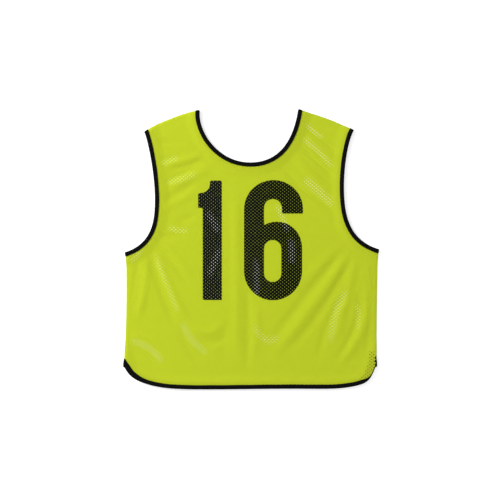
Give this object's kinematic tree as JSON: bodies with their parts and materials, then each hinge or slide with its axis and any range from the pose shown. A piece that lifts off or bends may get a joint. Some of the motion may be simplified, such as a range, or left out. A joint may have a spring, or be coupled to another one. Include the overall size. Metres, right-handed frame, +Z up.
{
  "type": "mesh training bib",
  "caption": "Sleeveless mesh training bib laid flat, front over back, with folded tape round the neck, armholes and shirt-tail hem and a plain printed number on the front.",
  "frame": {"origin": "centre of the laid-out bib's outline, on the surface it lies on", "axes": "+X across the bib to the right as seen from above, +Y from the hem to the neck, +Z up from the surface"},
  "size_m": [0.5373, 0.5882, 0.0075],
  "materials": {
    "mesh_cloth": "fluorescent yellow knitted polyester mesh with a soft sheen",
    "binding_tape": "matt black knitted polyester tape, folded and sewn"
  },
  "bodies": {
    "root": {"front_panel": "mesh_cloth", "back_panel": "mesh_cloth", "neck_binding": "binding_tape", "armhole_binding_left": "binding_tape", "armhole_binding_right": "binding_tape", "hem_binding": "binding_tape"}
  },
  "joints": []
}
